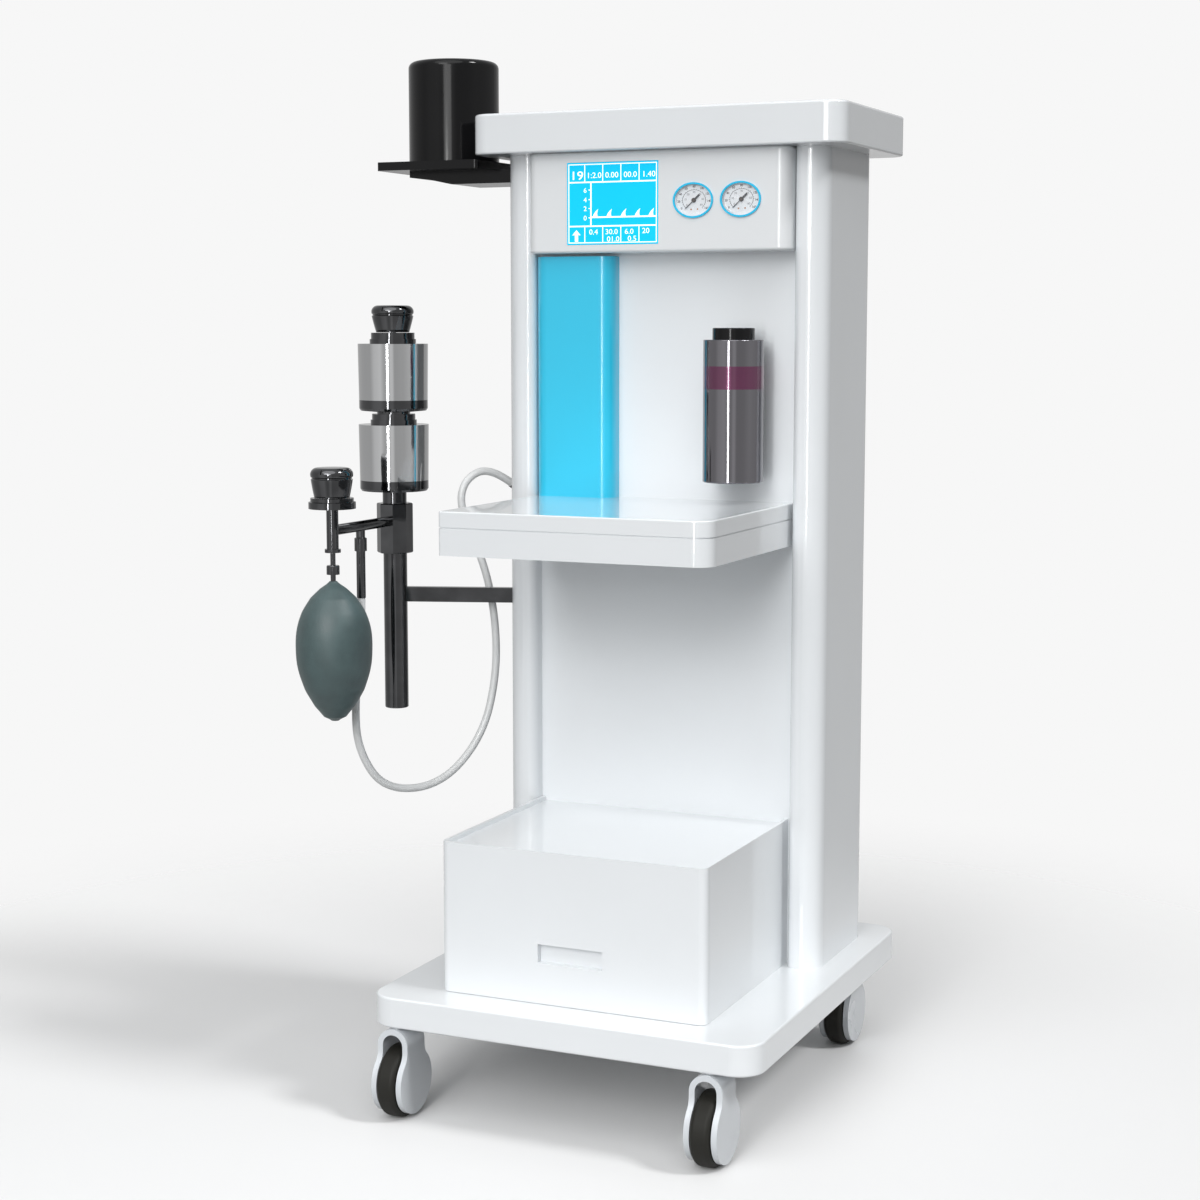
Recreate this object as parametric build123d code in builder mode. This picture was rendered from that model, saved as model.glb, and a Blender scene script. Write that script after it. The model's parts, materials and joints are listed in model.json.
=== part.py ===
from build123d import *
import math
import os

os.makedirs("parts", exist_ok=True)

# Cart frame while modelling: x = 0 is the centre plane of the trolley, y = 0 the
# face of the front panel (the user stands at -y), z = 0 the floor.  SHIFT_X and
# SHIFT_Y move everything so that the finished object stands centred on its origin.
SHIFT_X = 95.1
SHIFT_Y = 80.5

# ---------------------------------------------------------------- driving sizes
BASE_HALF_X = 289.0
BASE_FRONT = -390.0
BASE_BACK = 256.0
BASE_CORNER = 38.0
BASE_Z0 = 132.0
BASE_SEAM = 153.0
BASE_Z1 = 175.0

COL_IN = 202.0
COL_OUT = 249.5
COL_FRONT = -26.0
COL_BACK = 197.0
COL_R_OUT = 28.0
COL_R_IN = 13.0
WALL = 3.0

TOP_HALF_X = 286.0
TOP_FRONT = -68.0
TOP_BACK = 245.0
TOP_CORNER = 28.0
TOP_Z0 = 1352.0
TOP_Z1 = 1410.0
UNDERPLATE = 4.0

HEAD_HALF_X = 201.5
HEAD_FRONT = -47.0
HEAD_Z0 = 1208.0
HEAD_Z1 = 1352.0
HEAD_WALL = 3.0
HEAD_ROUND = 16.0
HEAD_EDGE = 4.5
SCREEN_X = -65.3
SCREEN_Z = 1278.3
SCREEN_W = 142.6
SCREEN_H = 117.0
GAUGE_XS = [59.7, 131.3]
GAUGE_Z = 1279.7
GAUGE_RX = 30.5
GAUGE_RY = 25.0

BLUE_X0 = -199.5
BLUE_X1 = -74.5
BLUE_FRONT = -30.0
BLUE_EDGE = 20.0
BLUE_TOP = 1204.0

VAP_X = 124.5
VAP_Y = -53.0
VAP_R = 43.0
VAP_Z0 = 883.0
VAP_Z1 = 1084.0
BAND_Z0 = 1015.0
BAND_Z1 = 1047.0
DIAL_R = 30.0
DIAL_Z1 = 1100.5

DECK_HALF_X = 198.5
DECK_FRONT = -336.0
DECK_Z0 = 791.0
DECK_SEAM = 830.0
DECK_Z1 = 852.0
DECK_R_LEFT = 4.0
DECK_R_RIGHT = 26.0
DECK_GAP = 1.6
DECK_REBATE = 2.0
DECK_WALL = 4.0

CAB_X = -3.4
CAB_HALF_X = 198.4
CAB_FRONT = -330.0
CAB_Z1 = 390.0
CAB_RIM = 6.0
CAB_RECESS = 6.0
CAB_EDGE = 11.0
DRAWER_FACE = 14.0
PULL_W = 97.0
PULL_Z0 = 233.0
PULL_Z1 = 259.5
PULL_DEPTH = 11.0

TRAY_X0 = -457.0
TRAY_X1 = -287.0
TRAY_Y0 = -40.0
TRAY_Y1 = 140.0
TRAY_Z0 = 1335.0
TRAY_Z1 = 1347.6
BRACKET_Y0 = 2.0
BRACKET_Y1 = 98.0
DOME_X = -371.5
DOME_Y = 50.0
DOME_R = 68.5
DOME_TOP = 1500.0
BELLOWS_R = 54.0
BELLOWS_FOLD = 6.0
BELLOWS_TOP = 1457.6
PLATE_T = 6.0

ARM_X = -423.0
POLE_Y = -56.0
STEM_Y = -240.0
SPOUT_Y = -160.0
POLE_R = 18.0
POLE_Z0 = 521.0
POLE_Z1 = 760.0
BLOCK_Z1 = 836.0
BLOCK_R = 27.5
BLOCK_FLAT = BLOCK_R * math.cos(math.radians(22.5))
BAR_Z = 696.5
BAR_H = 22.5
BAR_T = 12.0
BAR_END_Y = 3.0
SIDE_Z = 809.0
SIDE_R = 7.8

CAN_R = 51.8
CAN_FLARE = 0.78
CAN_H = 84.3
CAN_BASE_H = 17.5
CAN1_Z0 = 992.2
CAN2_Z0 = 871.0

HOSE_R = 6.0
HOSE_BORE = 4.0
SPOUT_R = 6.7
SPOUT_Z0 = 702.0

CASTER_XS = [-248.0, 220.0]
CASTER_YS = [-366.0, 192.0]
WHEEL_R = 51.0
TYRE_IN_R = 36.0
WHEEL_HALF_W = 14.0
AXLE_R = 5.0
FORK_IN = 15.5
FORK_OUT = 23.5
FORK_DISC_R = 45.0
FORK_NECK = 50.0
FORK_FLARE = 22.0
FORK_TOP = 130.0
FORK_UNDER = 122.0
PIN_R = 6.0
RUN_GAP = 0.08

built = {}


def save(part, name):
    """Name a finished body, place it in the shared frame and write its STEP file."""
    moved = part.moved(Location((SHIFT_X, SHIFT_Y, 0)))
    moved.label = name
    built[name] = moved
    export_step(moved, "parts/" + name + ".step")


def column_loop(side, inset):
    """Outline of one upright, drawn inset from its outer faces."""
    x0 = COL_IN + inset
    x1 = COL_OUT - inset
    y0 = COL_FRONT + inset
    y1 = COL_BACK - inset
    with BuildSketch() as loop:
        with Locations((side * (x0 + x1) / 2, (y0 + y1) / 2)):
            Rectangle(x1 - x0, y1 - y0)
        outer = loop.vertices().filter_by(lambda v: abs(v.X) > (x0 + x1) / 2)
        fillet(outer, COL_R_OUT - inset)
        front = loop.vertices().filter_by(lambda v: abs(abs(v.X) - x0) < 0.1 and v.Y < 0)
        fillet(front, COL_R_IN - inset)
    return loop.sketch


# ---------------------------------------------------------------- wheeled base
BASE_D = BASE_BACK - BASE_FRONT
BASE_Y = (BASE_BACK + BASE_FRONT) / 2

with BuildPart() as base_tray:
    with BuildSketch(Plane.XY.offset(BASE_Z0)):
        with Locations((0, BASE_Y)):
            RectangleRounded(2 * BASE_HALF_X, BASE_D, BASE_CORNER)
    extrude(amount=BASE_SEAM - BASE_Z0)
    with BuildSketch(Plane.XY.offset(BASE_Z0 + 5)):
        with Locations((0, BASE_Y)):
            RectangleRounded(2 * BASE_HALF_X - 8, BASE_D - 8, BASE_CORNER - 4)
    extrude(amount=BASE_SEAM - BASE_Z0, mode=Mode.SUBTRACT)
    fillet(base_tray.faces().sort_by(Axis.Z)[0].outer_wire().edges(), 3)
save(base_tray.part, "base_tray")

with BuildPart() as base_cover:
    with BuildSketch(Plane.XY.offset(BASE_SEAM)):
        with Locations((0, BASE_Y)):
            RectangleRounded(2 * BASE_HALF_X, BASE_D, BASE_CORNER)
    extrude(amount=BASE_Z1 - BASE_SEAM)
    fillet(base_cover.faces().sort_by(Axis.Z)[-1].outer_wire().edges(), 3)
    with BuildSketch(Plane.XY.offset(BASE_SEAM)):
        with Locations((0, BASE_Y)):
            RectangleRounded(2 * BASE_HALF_X - 8, BASE_D - 8, BASE_CORNER - 4)
    extrude(amount=BASE_Z1 - BASE_SEAM - 5, mode=Mode.SUBTRACT)
save(base_cover.part, "base_cover")

# ---------------------------------------------------------------- uprights, panels
for side, name in ((-1, "left_column"), (1, "right_column")):
    with BuildPart() as column:
        with BuildSketch(Plane.XY.offset(BASE_Z1)):
            add(column_loop(side, 0))
            add(column_loop(side, WALL), mode=Mode.SUBTRACT)
        extrude(amount=TOP_Z0 - BASE_Z1)
    save(column.part, name)

with BuildPart() as front_panel:
    with Locations((0, 0, BASE_Z1)):
        Box(2 * COL_IN, WALL, TOP_Z0 - BASE_Z1, align=(Align.CENTER, Align.MIN, Align.MIN))
save(front_panel.part, "front_panel")

with BuildPart() as rear_cover:
    with Locations((0, 187, BASE_Z1)):
        Box(2 * COL_IN, WALL, TOP_Z0 - BASE_Z1, align=(Align.CENTER, Align.MIN, Align.MIN))
    with BuildSketch(Plane.XZ.offset(-187)):
        with Locations((0, 420), (0, 1120)):
            with GridLocations(150, 22, 2, 6):
                SlotOverall(120, 8)
    extrude(amount=-WALL, mode=Mode.SUBTRACT)
save(rear_cover.part, "rear_cover")

# ---------------------------------------------------------------- top shelf
TOP_D = TOP_BACK - TOP_FRONT
TOP_Y = (TOP_BACK + TOP_FRONT) / 2

with BuildPart() as top_underplate:
    with BuildSketch(Plane.XY.offset(TOP_Z0)):
        with Locations((0, TOP_Y)):
            RectangleRounded(2 * TOP_HALF_X, TOP_D, TOP_CORNER)
    extrude(amount=UNDERPLATE)
    fillet(top_underplate.faces().sort_by(Axis.Z)[0].outer_wire().edges(), 3)
save(top_underplate.part, "top_underplate")

with BuildPart() as top_shell:
    with BuildSketch(Plane.XY.offset(TOP_Z0 + UNDERPLATE)):
        with Locations((0, TOP_Y)):
            RectangleRounded(2 * TOP_HALF_X, TOP_D, TOP_CORNER)
    extrude(amount=TOP_Z1 - TOP_Z0 - UNDERPLATE)
    fillet(top_shell.faces().sort_by(Axis.Z)[-1].outer_wire().edges(), 4)
    with BuildSketch(Plane.XY.offset(TOP_Z0 + UNDERPLATE)):
        with Locations((0, TOP_Y)):
            RectangleRounded(2 * TOP_HALF_X - 10, TOP_D - 10, TOP_CORNER - 5)
    extrude(amount=TOP_Z1 - TOP_Z0 - UNDERPLATE - 5, mode=Mode.SUBTRACT)
save(top_shell.part, "top_shell")

# ---------------------------------------------------------------- control head
HEAD_MID = (HEAD_Z0 + HEAD_Z1) / 2
HEAD_H = HEAD_Z1 - HEAD_Z0
CHASSIS_T = 6.0
HEAD_INNER = HEAD_FRONT + HEAD_WALL


def head_loop(inset):
    """Plan of the head housing, open to the back, with rounded front corners."""
    with BuildSketch() as loop:
        with Locations((0, (HEAD_FRONT + inset - CHASSIS_T) / 2)):
            Rectangle(2 * (HEAD_HALF_X - inset), -CHASSIS_T - HEAD_FRONT - inset)
        fillet(loop.vertices().group_by(Axis.Y)[0], HEAD_ROUND - inset)
    return loop.sketch


with BuildPart() as head_bezel:
    with BuildSketch(Plane.XY.offset(HEAD_Z0)):
        add(head_loop(0))
    extrude(amount=HEAD_H)
    fillet(head_bezel.faces().sort_by(Axis.Z)[0].edges().group_by(Axis.Y)[:-1], HEAD_EDGE)
    fillet(head_bezel.faces().sort_by(Axis.Z)[-1].edges().group_by(Axis.Y)[:-1], HEAD_EDGE)
    with BuildSketch(Plane.XY.offset(HEAD_Z0 + HEAD_WALL)):
        add(head_loop(HEAD_WALL))
    extrude(amount=HEAD_H - 2 * HEAD_WALL, mode=Mode.SUBTRACT)
    with BuildSketch(Plane.XZ.offset(-HEAD_FRONT)):
        with Locations((SCREEN_X, SCREEN_Z)):
            Rectangle(SCREEN_W + 0.6, SCREEN_H + 0.6)
        with Locations(*[(x, GAUGE_Z) for x in GAUGE_XS]):
            Ellipse(GAUGE_RX - 4.0, GAUGE_RY - 4.0)
    extrude(amount=-HEAD_WALL, mode=Mode.SUBTRACT)
save(head_bezel.part, "head_bezel")

with BuildPart() as head_chassis:
    with Locations((0, -CHASSIS_T, HEAD_MID)):
        Box(2 * HEAD_HALF_X, CHASSIS_T, HEAD_H, align=(Align.CENTER, Align.MIN, Align.CENTER))
    fillet(head_chassis.edges().filter_by(Axis.Y), HEAD_EDGE)
save(head_chassis.part, "head_chassis")

with BuildPart() as display_glass:
    with Locations((SCREEN_X, HEAD_FRONT, SCREEN_Z)):
        Box(SCREEN_W, HEAD_WALL, SCREEN_H, align=(Align.CENTER, Align.MIN, Align.CENTER))
save(display_glass.part, "display_glass")

with BuildPart() as display_panel:
    with Locations((SCREEN_X, HEAD_INNER, SCREEN_Z)):
        Box(SCREEN_W + 8, 7, SCREEN_H + 6, align=(Align.CENTER, Align.MIN, Align.CENTER))
    with Locations((SCREEN_X, HEAD_INNER + 7, SCREEN_Z)):
        Box(90, 5, 60, align=(Align.CENTER, Align.MIN, Align.CENTER))
save(display_panel.part, "display_panel")

GAUGE_SPOTS = [(x, GAUGE_Z) for x in GAUGE_XS]

with BuildPart() as gauge_bezels:
    with BuildSketch(Plane.XZ.offset(-HEAD_FRONT)):
        with Locations(*GAUGE_SPOTS):
            Ellipse(GAUGE_RX, GAUGE_RY)
        with Locations(*GAUGE_SPOTS):
            Ellipse(GAUGE_RX - 2.6, GAUGE_RY - 2.6, mode=Mode.SUBTRACT)
    extrude(amount=2.5)
save(gauge_bezels.part, "gauge_bezels")

NEEDLE_PIN_R = 1.6

with BuildPart() as gauge_dials:
    with BuildSketch(Plane.XZ.offset(-HEAD_INNER)):
        with Locations(*GAUGE_SPOTS):
            Ellipse(GAUGE_RX - 1.0, GAUGE_RY - 1.0)
    extrude(amount=-2)
    with BuildSketch(Plane.XZ.offset(-HEAD_INNER - 2)):
        with Locations(*GAUGE_SPOTS):
            Circle(14)
    extrude(amount=-10)
    with BuildSketch(Plane.XZ.offset(-HEAD_INNER)):
        with Locations(*GAUGE_SPOTS):
            Circle(NEEDLE_PIN_R)
    extrude(amount=2.2)
save(gauge_dials.part, "gauge_dials")

with BuildPart() as gauge_lenses:
    with BuildSketch(Plane.XZ.offset(-HEAD_FRONT)):
        with Locations(*GAUGE_SPOTS):
            Ellipse(GAUGE_RX - 3.0, GAUGE_RY - 3.0)
    extrude(amount=1.6)
save(gauge_lenses.part, "gauge_lenses")

NEEDLE_ANGLE = 222.0

for x, name in zip(GAUGE_XS, ("gauge_needle_left", "gauge_needle_right")):
    with BuildPart() as needle:
        with BuildSketch(Plane.XZ.offset(-HEAD_INNER + 0.6)):
            with Locations((x, GAUGE_Z)):
                Circle(3.4)
            with Locations(Location((x, GAUGE_Z), NEEDLE_ANGLE)):
                with Locations((9, 0)):
                    Rectangle(16, 0.9)
                with Locations((-6.5, 0)):
                    Rectangle(10, 2.6)
            with Locations((x, GAUGE_Z)):
                Circle(NEEDLE_PIN_R + RUN_GAP, mode=Mode.SUBTRACT)
        extrude(amount=1.2)
    save(needle.part, name)

# ---------------------------------------------------------------- blue cover
BLUE_W = BLUE_X1 - BLUE_X0
BLUE_X = (BLUE_X0 + BLUE_X1) / 2


def blue_loop(inset):
    """Plan of the blue cover, open to the back, with rounded front corners."""
    with BuildSketch() as loop:
        with Locations((BLUE_X, (BLUE_FRONT + inset) / 2)):
            Rectangle(BLUE_W - 2 * inset, -BLUE_FRONT - inset)
        fillet(loop.vertices().group_by(Axis.Y)[0], BLUE_EDGE - inset)
    return loop.sketch


with BuildPart() as blue_cover:
    with BuildSketch(Plane.XY.offset(DECK_Z1)):
        add(blue_loop(0))
    extrude(amount=BLUE_TOP - DECK_Z1)
    with BuildSketch(Plane.XY.offset(DECK_Z1 + WALL)):
        add(blue_loop(WALL))
    extrude(amount=BLUE_TOP - DECK_Z1 - 2 * WALL, mode=Mode.SUBTRACT)
save(blue_cover.part, "blue_cover")

# ---------------------------------------------------------------- vaporizer
SPINDLE_R = 5.0

with BuildPart() as vaporizer_body:
    with BuildSketch(Plane.XY.offset(VAP_Z0)):
        with Locations((VAP_X, VAP_Y)):
            Circle(VAP_R)
    extrude(amount=VAP_Z1 - VAP_Z0)
    fillet(vaporizer_body.faces().sort_by(Axis.Z)[-1].edges(), 1.2)
    fillet(vaporizer_body.faces().sort_by(Axis.Z)[0].edges(), 2)
    with BuildSketch(Plane.XY.offset(BAND_Z0)):
        with Locations((VAP_X, VAP_Y)):
            Circle(VAP_R + 2)
        with Locations((VAP_X, VAP_Y)):
            Circle(VAP_R - 3, mode=Mode.SUBTRACT)
    extrude(amount=BAND_Z1 - BAND_Z0, mode=Mode.SUBTRACT)
    with Locations((VAP_X, VAP_Y + VAP_R - 5, 905)):
        Box(40, 9, 100, align=(Align.CENTER, Align.MIN, Align.MIN))
    with BuildSketch(Plane.XY.offset(VAP_Z1)):
        with Locations((VAP_X, VAP_Y)):
            Circle(SPINDLE_R)
    extrude(amount=11)
save(vaporizer_body.part, "vaporizer_body")

with BuildPart() as vaporizer_band:
    with BuildSketch(Plane.XY.offset(BAND_Z0)):
        with Locations((VAP_X, VAP_Y)):
            Circle(VAP_R + 0.2)
        with Locations((VAP_X, VAP_Y)):
            Circle(VAP_R - 2.6, mode=Mode.SUBTRACT)
    extrude(amount=BAND_Z1 - BAND_Z0)
save(vaporizer_band.part, "vaporizer_band")

with BuildPart() as vaporizer_mount:
    with Locations((VAP_X, 0, 880)):
        Box(46, -(VAP_Y + VAP_R + 4), 150, align=(Align.CENTER, Align.MAX, Align.MIN))
    fillet(vaporizer_mount.edges().filter_by(Axis.Y), 5)
save(vaporizer_mount.part, "vaporizer_mount")

with BuildPart() as vaporizer_dial:
    with BuildSketch(Plane.XY.offset(VAP_Z1)):
        with Locations((VAP_X, VAP_Y)):
            Circle(DIAL_R)
    extrude(amount=DIAL_Z1 - VAP_Z1)
    fillet(vaporizer_dial.faces().sort_by(Axis.Z)[-1].edges(), 1.5)
    with BuildSketch(Plane.XY.offset(VAP_Z1)):
        with Locations((VAP_X, VAP_Y)):
            Circle(SPINDLE_R + RUN_GAP)
    extrude(amount=12, mode=Mode.SUBTRACT)
    with BuildSketch(Plane.XY.offset(DIAL_Z1 - 1)):
        with Locations((VAP_X, VAP_Y - DIAL_R + 5)):
            Rectangle(2, 7)
    extrude(amount=1, mode=Mode.SUBTRACT)
save(vaporizer_dial.part, "vaporizer_dial")

# ---------------------------------------------------------------- worktop
DECK_D = -DECK_FRONT


def deck_loop(inset):
    """Worktop outline: a tight left front corner and a well rounded right one."""
    with BuildSketch() as loop:
        with Locations((0, DECK_FRONT / 2)):
            Rectangle(2 * (DECK_HALF_X - inset), DECK_D - 2 * inset)
        right = loop.vertices().group_by(Axis.Y)[0].sort_by(Axis.X)[-1]
        fillet(right, DECK_R_RIGHT - inset)
        if inset < DECK_R_LEFT:
            left = loop.vertices().group_by(Axis.Y)[0].sort_by(Axis.X)[0]
            fillet(left, DECK_R_LEFT - inset)
    return loop.sketch


with BuildPart() as worktop_plate:
    with BuildSketch(Plane.XY.offset(DECK_SEAM)):
        add(deck_loop(0))
    extrude(amount=DECK_Z1 - DECK_SEAM)
    fillet(worktop_plate.faces().sort_by(Axis.Z)[-1].edges().group_by(Axis.Y)[0], 2)
save(worktop_plate.part, "worktop_plate")

with BuildPart() as worktop_tray:
    with BuildSketch(Plane.XY.offset(DECK_Z0)):
        add(deck_loop(0))
    extrude(amount=DECK_SEAM - DECK_GAP - DECK_Z0)
    with BuildSketch(Plane.XY.offset(DECK_SEAM - DECK_GAP)):
        add(deck_loop(DECK_REBATE))
    extrude(amount=DECK_GAP)
    with BuildSketch(Plane.XY.offset(DECK_Z0 + DECK_WALL)):
        add(deck_loop(DECK_WALL))
    extrude(amount=DECK_SEAM - DECK_Z0 - DECK_WALL, mode=Mode.SUBTRACT)
save(worktop_tray.part, "worktop_tray")

# ---------------------------------------------------------------- cabinet, drawer
SHELL_FRONT = CAB_FRONT + DRAWER_FACE + 0.5
DRAWER_HALF_X = CAB_HALF_X - 3 - 7
DRAWER_Z0 = 184.0
DRAWER_Z1 = 366.0
DRAWER_BACK = -34.0

with BuildPart() as cabinet_shell:
    with Locations((CAB_X, SHELL_FRONT, BASE_Z1)):
        Box(2 * CAB_HALF_X, -SHELL_FRONT, CAB_Z1 - BASE_Z1, align=(Align.CENTER, Align.MIN, Align.MIN))
    with Locations((CAB_X, SHELL_FRONT, BASE_Z1 + 3)):
        Box(2 * CAB_HALF_X - 6, -SHELL_FRONT - 3, CAB_Z1 - BASE_Z1 - 3 - CAB_RECESS - 4,
            align=(Align.CENTER, Align.MIN, Align.MIN), mode=Mode.SUBTRACT)
    with Locations((CAB_X, SHELL_FRONT, CAB_Z1 - CAB_RECESS)):
        Box(2 * (CAB_HALF_X - CAB_RIM), -SHELL_FRONT, CAB_RECESS,
            align=(Align.CENTER, Align.MIN, Align.MIN), mode=Mode.SUBTRACT)
save(cabinet_shell.part, "cabinet_shell")

with BuildPart() as drawer_rails:
    for side in (-1, 1):
        with Locations((CAB_X + side * (CAB_HALF_X - 3), SHELL_FRONT + 6, 262)):
            Box(6.4, 260, 30, align=(Align.MAX if side > 0 else Align.MIN, Align.MIN, Align.MIN))
save(drawer_rails.part, "drawer_rails")

with BuildPart() as drawer_box:
    with Locations((CAB_X, CAB_FRONT + DRAWER_FACE, DRAWER_Z0)):
        Box(2 * DRAWER_HALF_X, DRAWER_BACK - CAB_FRONT - DRAWER_FACE, DRAWER_Z1 - DRAWER_Z0,
            align=(Align.CENTER, Align.MIN, Align.MIN))
    with Locations((CAB_X, CAB_FRONT + DRAWER_FACE + 3, DRAWER_Z0 + 3)):
        Box(2 * DRAWER_HALF_X - 6, DRAWER_BACK - CAB_FRONT - DRAWER_FACE - 6, DRAWER_Z1 - DRAWER_Z0,
            align=(Align.CENTER, Align.MIN, Align.MIN), mode=Mode.SUBTRACT)
save(drawer_box.part, "drawer_box")

with BuildPart() as drawer_front:
    with Locations((CAB_X, CAB_FRONT, BASE_Z1 + 0.6)):
        Box(2 * CAB_HALF_X, DRAWER_FACE, CAB_Z1 - BASE_Z1 - 0.6, align=(Align.CENTER, Align.MIN, Align.MIN))
    fillet(drawer_front.edges().filter_by(Axis.Z).group_by(Axis.Y)[0], CAB_EDGE)
    with Locations((CAB_X, CAB_FRONT + CAB_RIM, CAB_Z1 - CAB_RECESS)):
        Box(2 * (CAB_HALF_X - CAB_RIM - 2), DRAWER_FACE, CAB_RECESS,
            align=(Align.CENTER, Align.MIN, Align.MIN), mode=Mode.SUBTRACT)
    with Locations((-4, CAB_FRONT, PULL_Z0)):
        Box(PULL_W, PULL_DEPTH, PULL_Z1 - PULL_Z0, align=(Align.CENTER, Align.MIN, Align.MIN),
            mode=Mode.SUBTRACT)
save(drawer_front.part, "drawer_front")

# ---------------------------------------------------------------- side tray, bellows
with BuildPart() as side_tray:
    with Locations((TRAY_X0, TRAY_Y0, TRAY_Z0)):
        Box(TRAY_X1 - TRAY_X0, TRAY_Y1 - TRAY_Y0, TRAY_Z1 - TRAY_Z0, align=Align.MIN)
    fillet(side_tray.edges().filter_by(Axis.Z), 6)
save(side_tray.part, "side_tray")

with BuildPart() as side_bracket:
    with BuildSketch(Plane.XZ.offset(-BRACKET_Y0)):
        with BuildLine():
            Polyline((-COL_OUT, TRAY_Z0), (-423, TRAY_Z0), (-423, TRAY_Z0 - 8.5), (-386, TRAY_Z0 - 13),
                     (-352, TRAY_Z0 - 20), (-COL_OUT, TRAY_Z0 - 20), close=True)
        make_face()
    extrude(amount=-(BRACKET_Y1 - BRACKET_Y0))
save(side_bracket.part, "side_bracket")

with BuildPart() as bellows_dome:
    with BuildSketch(Plane.XY.offset(TRAY_Z1)):
        with Locations((DOME_X, DOME_Y)):
            Circle(DOME_R)
    extrude(amount=DOME_TOP - TRAY_Z1)
    fillet(bellows_dome.faces().sort_by(Axis.Z)[-1].edges(), 10)
    with BuildSketch(Plane.XY.offset(TRAY_Z1)):
        with Locations((DOME_X, DOME_Y)):
            Circle(DOME_R - 4)
    extrude(amount=DOME_TOP - TRAY_Z1 - 5, mode=Mode.SUBTRACT)
save(bellows_dome.part, "bellows_dome")

FOLDS = 8
PITCH = (BELLOWS_TOP - TRAY_Z1) / (2 * FOLDS)

with BuildPart() as bellows:
    with BuildSketch(Plane.XZ.offset(-DOME_Y)):
        with BuildLine():
            outer_pts = []
            for k in range(2 * FOLDS + 1):
                r = BELLOWS_R - (BELLOWS_FOLD if k % 2 == 0 else 0)
                outer_pts.append((DOME_X + r, TRAY_Z1 + k * PITCH))
            inner_pts = [(px - 2.0, pz) for px, pz in reversed(outer_pts)]
            Polyline(*outer_pts, *inner_pts, close=True)
        make_face()
    revolve(axis=Axis((DOME_X, DOME_Y, 0), (0, 0, 1)))
save(bellows.part, "bellows")

with BuildPart() as bellows_plate:
    with BuildSketch(Plane.XY.offset(BELLOWS_TOP)):
        with Locations((DOME_X, DOME_Y)):
            Circle(BELLOWS_R + 3)
    extrude(amount=PLATE_T)
save(bellows_plate.part, "bellows_plate")

# ---------------------------------------------------------------- absorber arm
BAR_X1 = -COL_OUT
BAR_DX = ARM_X - BAR_X1
BAR_DY = POLE_Y - BAR_END_Y
BAR_LEN = math.hypot(BAR_DX, BAR_DY)
BAR_ANGLE = math.degrees(math.atan2(BAR_DY, BAR_DX))

with BuildPart() as absorber_arm:
    with BuildSketch(Plane.XY.offset(POLE_Z0)):
        with Locations((ARM_X, POLE_Y)):
            Circle(POLE_R)
    extrude(amount=POLE_Z1 - POLE_Z0)
    fillet(absorber_arm.faces().sort_by(Axis.Z)[0].edges(), 2)
    with BuildSketch(Plane.XY.offset(BAR_Z - BAR_H / 2)):
        with Locations(Location(((ARM_X + BAR_X1) / 2, (POLE_Y + BAR_END_Y) / 2), BAR_ANGLE)):
            Rectangle(BAR_LEN + 12, BAR_T)
    extrude(amount=BAR_H)
    with Locations((-COL_OUT, BAR_END_Y, BAR_Z)):
        Box(30, 80, 60, align=(Align.MIN, Align.CENTER, Align.CENTER), mode=Mode.SUBTRACT)
    with Locations((-COL_OUT, BAR_END_Y + 4, BAR_Z)):
        Box(4, 46, 40, align=(Align.MAX, Align.MIN, Align.CENTER))
    with Locations((ARM_X, POLE_Y, POLE_Z0)):
        Cylinder(POLE_R - 3, POLE_Z1 - POLE_Z0 - 6, align=(Align.CENTER, Align.CENTER, Align.MIN),
                 mode=Mode.SUBTRACT)
save(absorber_arm.part, "absorber_arm")

with BuildPart() as collar_block:
    with BuildSketch(Plane.XY.offset(POLE_Z1)):
        with Locations(Location((ARM_X, POLE_Y), 22.5)):
            RegularPolygon(BLOCK_R, 8)
    extrude(amount=BLOCK_Z1 - POLE_Z1)
    chamfer(collar_block.faces().sort_by(Axis.Z)[0].edges(), 1.5)
    chamfer(collar_block.faces().sort_by(Axis.Z)[-1].edges(), 1.5)
save(collar_block.part, "collar_block")

with BuildPart() as canister_shells:
    for z0 in (CAN1_Z0, CAN2_Z0):
        with BuildSketch(Plane.XY.offset(z0)):
            with Locations((ARM_X, POLE_Y)):
                Circle(CAN_R)
        extrude(amount=CAN_H, taper=-CAN_FLARE)
        with BuildSketch(Plane.XY.offset(z0)):
            with Locations((ARM_X, POLE_Y)):
                Circle(CAN_R - 3)
        extrude(amount=CAN_H - 4, mode=Mode.SUBTRACT)
save(canister_shells.part, "canister_shells")


def turned(profile, axis_x, axis_y):
    """Solid of revolution about the upright axis through (axis_x, axis_y)."""
    with BuildPart() as body:
        with BuildSketch(Plane.XZ.offset(-axis_y)):
            with BuildLine():
                Polyline(*[(axis_x + r, z) for r, z in profile], close=True)
            make_face()
        revolve(axis=Axis((axis_x, axis_y, 0), (0, 0, 1)))
    return body.part


LOW_BASE_Z0 = CAN2_Z0 - CAN_BASE_H
MID_Z0 = CAN2_Z0 + CAN_H
UP_BASE_Z0 = CAN1_Z0 - CAN_BASE_H
CAP_Z0 = CAN1_Z0 + CAN_H
KNOB_Z0 = CAP_Z0 + 17.0

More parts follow.
